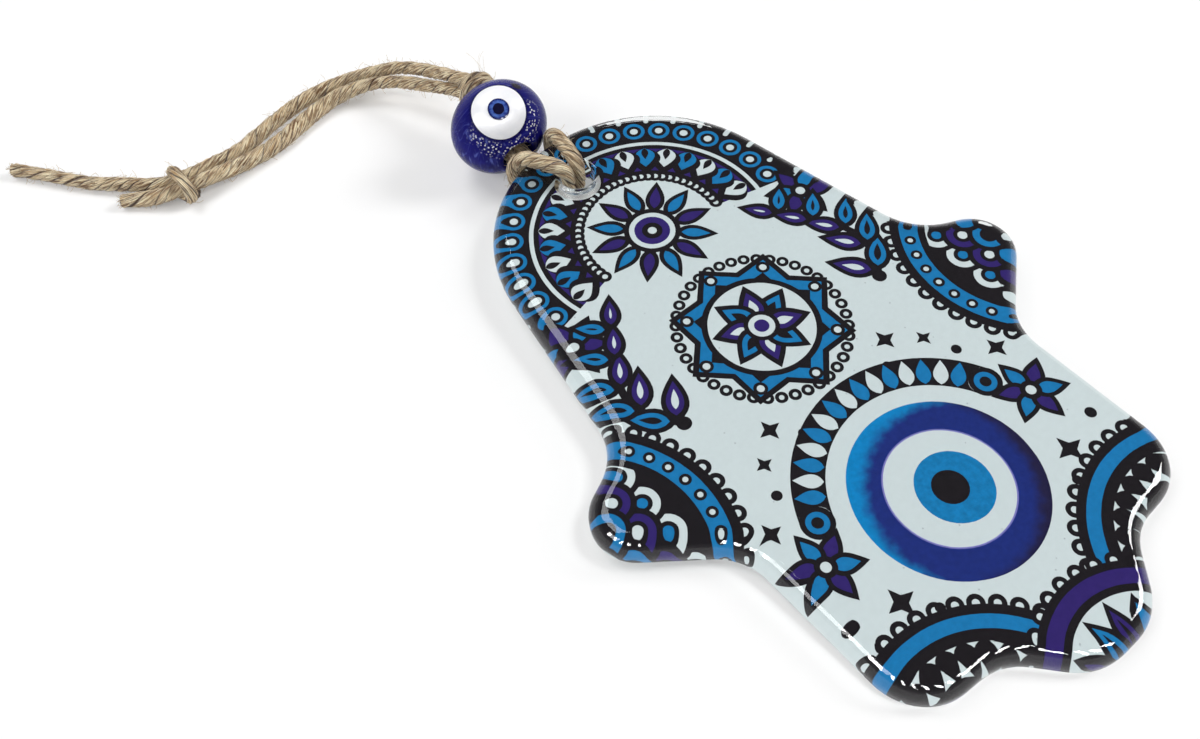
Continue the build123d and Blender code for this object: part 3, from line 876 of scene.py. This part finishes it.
for node, finish in (
    ("bead_body", cobalt_glass),
    ("bead_white", white_glass),
    ("bead_iris", blue_glass),
    ("bead_pupil", dark_glass),
):
    dress(node, finish)

# Stop knot: the jute's two halves tied together behind the bead, which keeps it on the cord.
# Its turns go round both halves and are pulled tight against the bead.
STOP_MIDDLE = Vector((-4.3, 104.4, 13.3))
STOP_RUN = Vector((0.1177, 0.9587, 0.10)).normalized()
STOP_SIDE = Vector((0.99255, -0.12187, 0.0))
STOP_WIDE, STOP_TALL, STOP_ADVANCE = 3.7, 3.3, 3.6
STOP_FIRST, STOP_TURNS, STOP_POINTS = -120, 1.75, 24
stop_turns = []
for k in range(STOP_POINTS):
    share = k / (STOP_POINTS - 1)
    turn = math.radians(STOP_FIRST + 360 * STOP_TURNS * share)
    sideways = STOP_SIDE * (STOP_WIDE * math.cos(turn))
    upwards = STOP_SIDE.cross(STOP_RUN) * (STOP_TALL * math.sin(turn))
    onwards = STOP_RUN * (STOP_ADVANCE * (share - 0.5))
    stop_turns.append(STOP_MIDDLE + onwards + (sideways + upwards))
stop_line = cord_line("stop_knot_line", stop_turns)
stop_knot = rope("stop_knot_turns", stop_line, 41, 16 * MM, 0.92)
stands_for(stop_knot, "stop_knot")

# End knot: the jute's two halves tied together once more, before their cut ends.
# One turn slants over them and is pulled tight on the table.
END_MIDDLE = Vector((-72.5, 138.0, 3.9))
END_RUN = Vector((-0.984808, 0.173648, 0.0))
END_SIDE = Vector((0.173648, 0.984808, 0.0))
END_WIDE, END_TALL, END_SLANT, END_DRIFT = 4.8, 2.9, 1.4, 0.16
END_FIRST, END_STEP, END_POINTS = -118, 30, 15
end_turn = []
for k in range(END_POINTS):
    turn = math.radians(END_FIRST + END_STEP * k)
    slant = END_SLANT * math.cos(turn) + END_DRIFT * (k - END_POINTS // 2)
    over = Vector((0, 0, END_TALL * math.sin(turn)))
    end_turn.append(END_MIDDLE + END_RUN * slant + END_SIDE * (END_WIDE * math.cos(turn)) + over)
end_line = cord_line("end_knot_line", end_turn)
end_knot = rope("end_knot_turn", end_line, 53, 26 * MM, 0.98)
stands_for(end_knot, "end_knot")

# Loose jute fibres: short ends that stand off the twisted cord, thicker at its two cut ends,
# at the bore's mouth where the cord is chafed, and in one tuft on the stop knot.
fibre_finish, tree, strand, add = finish_of("jute_fibre")
tint = noise(add, add("ShaderNodeTexCoord").outputs["Object"], 300.0)
tree.links.new(mixed(add, tint, srgb(140, 110, 74), srgb(226, 204, 168)), strand.inputs["Base Color"])
strand.inputs["Roughness"].default_value = 0.7

fuzz = bpy.data.node_groups.new("jute_fuzz", "GeometryNodeTree")
fuzz_inputs = {}
for name, kind, way in (
    ("Cord", "NodeSocketGeometry", "INPUT"),
    ("Fibres per area", "NodeSocketFloat", "INPUT"),
    ("Length", "NodeSocketFloat", "INPUT"),
    ("Thickness", "NodeSocketFloat", "INPUT"),
    ("Lean", "NodeSocketFloat", "INPUT"),
    ("Seed", "NodeSocketInt", "INPUT"),
    ("Fibres", "NodeSocketGeometry", "OUTPUT"),
):
    fuzz_inputs[name] = fuzz.interface.new_socket(name=name, in_out=way, socket_type=kind).identifier
add = adder(fuzz)
given = add("NodeGroupInput").outputs
roots = add(
    "GeometryNodeDistributePointsOnFaces",
    {"Mesh": given["Cord"], "Density": given["Fibres per area"], "Seed": given["Seed"]},
).outputs
bent_tip = add("ShaderNodeCombineXYZ", {"X": given["Lean"], "Z": 0.75}).outputs[0]
bow = add(
    "GeometryNodeCurveQuadraticBezier",
    {"Resolution": 5, "Start": (0, 0, 0), "Middle": (0, 0, 0.5), "End": bent_tip},
)
relative = worked(add, "DIVIDE", worked(add, "MULTIPLY", given["Thickness"], 0.5), given["Length"])
section = add("GeometryNodeCurvePrimitiveCircle", {"Resolution": 3, "Radius": relative}, mode="RADIUS")
one_fibre = add(
    "GeometryNodeCurveToMesh",
    {"Curve": bow.outputs[0], "Profile Curve": section.outputs[0], "Fill Caps": True},
)
spin = add(
    "FunctionNodeRandomValue",
    {"Min": (-0.6, -0.6, 0.0), "Max": (0.6, 0.6, 2 * math.pi), "Seed": given["Seed"]},
    data_type="FLOAT_VECTOR",
)
turned = add("FunctionNodeEulerToRotation", {"Euler": spin.outputs["Value"]}).outputs[0]
aim = {"Rotation": roots["Rotation"], "Rotate By": turned}
aimed = add("FunctionNodeRotateRotation", aim, rotation_space="LOCAL").outputs[0]
share = add("FunctionNodeRandomValue", {"Min": 0.3, "Max": 1.0, "Seed": given["Seed"]}, data_type="FLOAT")
long = worked(add, "MULTIPLY", share.outputs["Value"], given["Length"])
planted = add(
    "GeometryNodeInstanceOnPoints",
    {"Points": roots["Points"], "Instance": one_fibre.outputs[0], "Rotation": aimed, "Scale": long},
)
real = add("GeometryNodeRealizeInstances", {"Geometry": planted.outputs[0]})
at = add("ShaderNodeSeparateXYZ", {0: add("GeometryNodeInputPosition").outputs[0]}).outputs
above = worked(add, "MAXIMUM", at["Z"], 0.0001)
lifted = add("ShaderNodeCombineXYZ", {"X": at["X"], "Y": at["Y"], "Z": above}).outputs[0]
rested = add("GeometryNodeSetPosition", {"Geometry": real.outputs[0], "Position": lifted})
coloured = add("GeometryNodeSetMaterial", {"Geometry": rested.outputs[0], "Material": fibre_finish})
add("NodeGroupOutput", {"Fibres": coloured.outputs[0]})


def round_patch(name, middle, facing, radius):
    """A small disc that fibres grow from, in metres."""
    turn = Vector(facing).to_track_quat("Z", "Y").to_matrix().to_4x4()
    disc = bmesh.new()
    bmesh.ops.create_circle(
        disc, cap_ends=True, segments=12, radius=radius, matrix=Matrix.Translation(middle) @ turn
    )
    mesh = bpy.data.meshes.new(name)
    disc.to_mesh(mesh)
    disc.free()
    return mesh


def grown_on(bed, seed, count_per_area, length, thickness, lean):
    """The fibres that grow on a mesh, as a mesh."""
    holder = bpy.data.objects.new("fibre_bed", bed)
    bpy.context.scene.collection.objects.link(holder)
    growth = holder.modifiers.new("fuzz", "NODES")
    growth.node_group = fuzz
    for name, value in (
        ("Fibres per area", count_per_area),
        ("Length", length * MM),
        ("Thickness", thickness * MM),
        ("Lean", lean),
        ("Seed", seed),
    ):
        growth[fuzz_inputs[name]] = value
    grown = bpy.data.meshes.new_from_object(holder.evaluated_get(bpy.context.evaluated_depsgraph_get()))
    bpy.data.objects.remove(holder)
    return grown


ALONG_CORD = {"count_per_area": 1.2e5, "length": 2.2, "thickness": 0.10, "lean": 0.9}
AT_CUT_END = {"count_per_area": 1.0e7, "length": 1.9, "thickness": 0.09, "lean": 0.35}
CUT_END_RADIUS = 1.5 * MM
TUFT_THICKNESS = 0.06
tangle = bmesh.new()
for seed, piece in enumerate((outer_cord, inner_cord, hitch, stop_knot, end_knot), 60):
    tangle.from_mesh(grown_on(piece.data, seed, **ALONG_CORD))
for seed, line in ((71, outer_line), (72, inner_line)):
    cut_end = round_patch("cut_end", line[-1], line[-1] - line[-4], CUT_END_RADIUS)
    tangle.from_mesh(grown_on(cut_end, seed, **AT_CUT_END))
for seed, middle, facing, radius, per_area, length, lean in (
    (81, (-8.6, 81.4, 11.6), (-0.5, -0.2, 0.8), 1.6, 4.0e6, 3.2, 0.8),
    (82, (-1.4, 105.6, 16.6), (0.1, 0.5, 0.85), 0.9, 3.2e6, 7.0, 0.5),
):
    tuft = round_patch("tuft", Vector(middle) * MM, facing, radius * MM)
    tangle.from_mesh(grown_on(tuft, seed, per_area, length, TUFT_THICKNESS, lean))
fibre_mesh = bpy.data.meshes.new("loose_fibres")
tangle.to_mesh(fibre_mesh)
tangle.free()
fibre_mesh.materials.clear()
fibre_mesh.materials.append(fibre_finish)
loose_fibres = bpy.data.objects.new("loose_fibres", fibre_mesh)
bpy.context.scene.collection.objects.link(loose_fibres)
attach(loose_fibres, "cord")

# Table, light and camera: a white table with low screens far round it, under three soft lamps.
# A row of small lamps in front shows only in the gloss, as a chain of dots along the rims.
TABLE_HALF, SCREEN_HEIGHT = 6.0, 1.2
TABLE_QUARTERS = ((-1, -1), (1, -1), (1, 1), (-1, 1))
corners = [(x * TABLE_HALF, y * TABLE_HALF, z) for z in (0, SCREEN_HEIGHT) for x, y in TABLE_QUARTERS]
top_and_screens = [(0, 1, 2, 3), (1, 0, 4, 5), (2, 1, 5, 6), (3, 2, 6, 7), (0, 3, 7, 4)]
floor_mesh = bpy.data.meshes.new("table")
floor_mesh.from_pydata(corners, [], top_and_screens)
table = bpy.data.objects.new("table", floor_mesh)
bpy.context.scene.collection.objects.link(table)
white_table, tree, paper, add = finish_of("white_table")
paper.inputs["Base Color"].default_value = (0.95, 0.95, 0.95, 1)
paper.inputs["Roughness"].default_value = 0.8
paper.inputs["Specular IOR Level"].default_value = 0.1
# The table looks pure white far out, and more and more as it is lit near the hand, where it holds the shadow.
rays = add("ShaderNodeLightPath").outputs
clear_view = worked(add, "MAXIMUM", rays["Is Camera Ray"], rays["Is Transmission Ray"])
seen = worked(add, "MAXIMUM", clear_view, rays["Is Glossy Ray"])
place = add("ShaderNodeTexCoord").outputs["Object"]
away = add("ShaderNodeVectorMath", {0: place}, operation="LENGTH").outputs["Value"]
share = worked(add, "MULTIPLY", seen, ranged(add, away, 0.4, 1.4, 0.25, 1.0))
glow = add("ShaderNodeEmission", {"Color": (1, 1, 1, 1), "Strength": 1.0})
blank = add("ShaderNodeMixShader", {0: share, 1: paper.outputs[0], 2: glow.outputs[0]})
tree.links.new(blank.outputs[0], tree.nodes["Material Output"].inputs["Surface"])
floor_mesh.materials.append(white_table)

world = bpy.data.worlds.new("studio")
bpy.context.scene.world = world
world.use_nodes = True
add = adder(world.node_tree)
height = add("ShaderNodeSeparateXYZ", {0: add("ShaderNodeTexCoord").outputs["Generated"]}).outputs["Z"]
background = world.node_tree.nodes["Background"]
background.inputs["Color"].default_value = (1, 1, 1, 1)
world.node_tree.links.new(ranged(add, height, 0.1, 0.6, 0.55, 0.12), background.inputs["Strength"])


def lamp(name, place, wide, tall, power):
    """A lamp aimed at the hand."""
    light = bpy.data.lights.new(name, "AREA")
    light.shape = "RECTANGLE"
    light.size = wide
    light.size_y = tall
    light.energy = power
    holder = bpy.data.objects.new(name, light)
    holder.location = place
    aim = Vector((0, 0.03, 0)) - Vector(place)
    holder.rotation_euler = aim.to_track_quat("-Z", "Y").to_euler()
    bpy.context.scene.collection.objects.link(holder)
    return holder


lamp("behind", (-0.15, 1.05, 2.15), 1.3, 1.3, 26.0)
lamp("left", (-1.5, 0.16, 1.45), 0.8, 0.8, 14.0)
lamp("right", (1.6, -0.9, 1.4), 0.7, 0.7, 29.0)
CHAIN_RADIUS, CHAIN_HEIGHT = 0.72, 0.62
CHAIN_LAMPS, CHAIN_FIRST, CHAIN_STEP = 9, 165, 16
DOT_WIDE, DOT_TALL, DOT_POWER = 0.07, 0.26, 2.2
for k in range(CHAIN_LAMPS):
    turn = math.radians(CHAIN_FIRST + CHAIN_STEP * k)
    place = (CHAIN_RADIUS * math.cos(turn), CHAIN_RADIUS * math.sin(turn), CHAIN_HEIGHT)
    dot = lamp(f"dot_{k}", place, DOT_WIDE, DOT_TALL, DOT_POWER)
    dot.visible_diffuse = False

CAMERA_PLACE = (-0.10220, -0.08144, 0.18023)
CAMERA_RIGHT = Vector((0.77244146, -0.6312838, -0.06938995))
CAMERA_DOWN = Vector((-0.54522438, -0.60314507, -0.58219104))
CAMERA_AHEAD = Vector((0.32567556, 0.48754159, -0.81008557))
view = bpy.data.cameras.new("camera")
view.sensor_fit = "HORIZONTAL"
view.sensor_width = 36.0
view.lens = 31.451
view.clip_start = 0.01
camera = bpy.data.objects.new("camera", view)
axes = Matrix((CAMERA_RIGHT, -CAMERA_DOWN, -CAMERA_AHEAD)).transposed().to_4x4()
camera.matrix_world = Matrix.Translation(CAMERA_PLACE) @ axes
bpy.context.scene.collection.objects.link(camera)
bpy.context.scene.camera = camera
bpy.context.scene.view_settings.view_transform = "Standard"

bpy.context.view_layer.update()
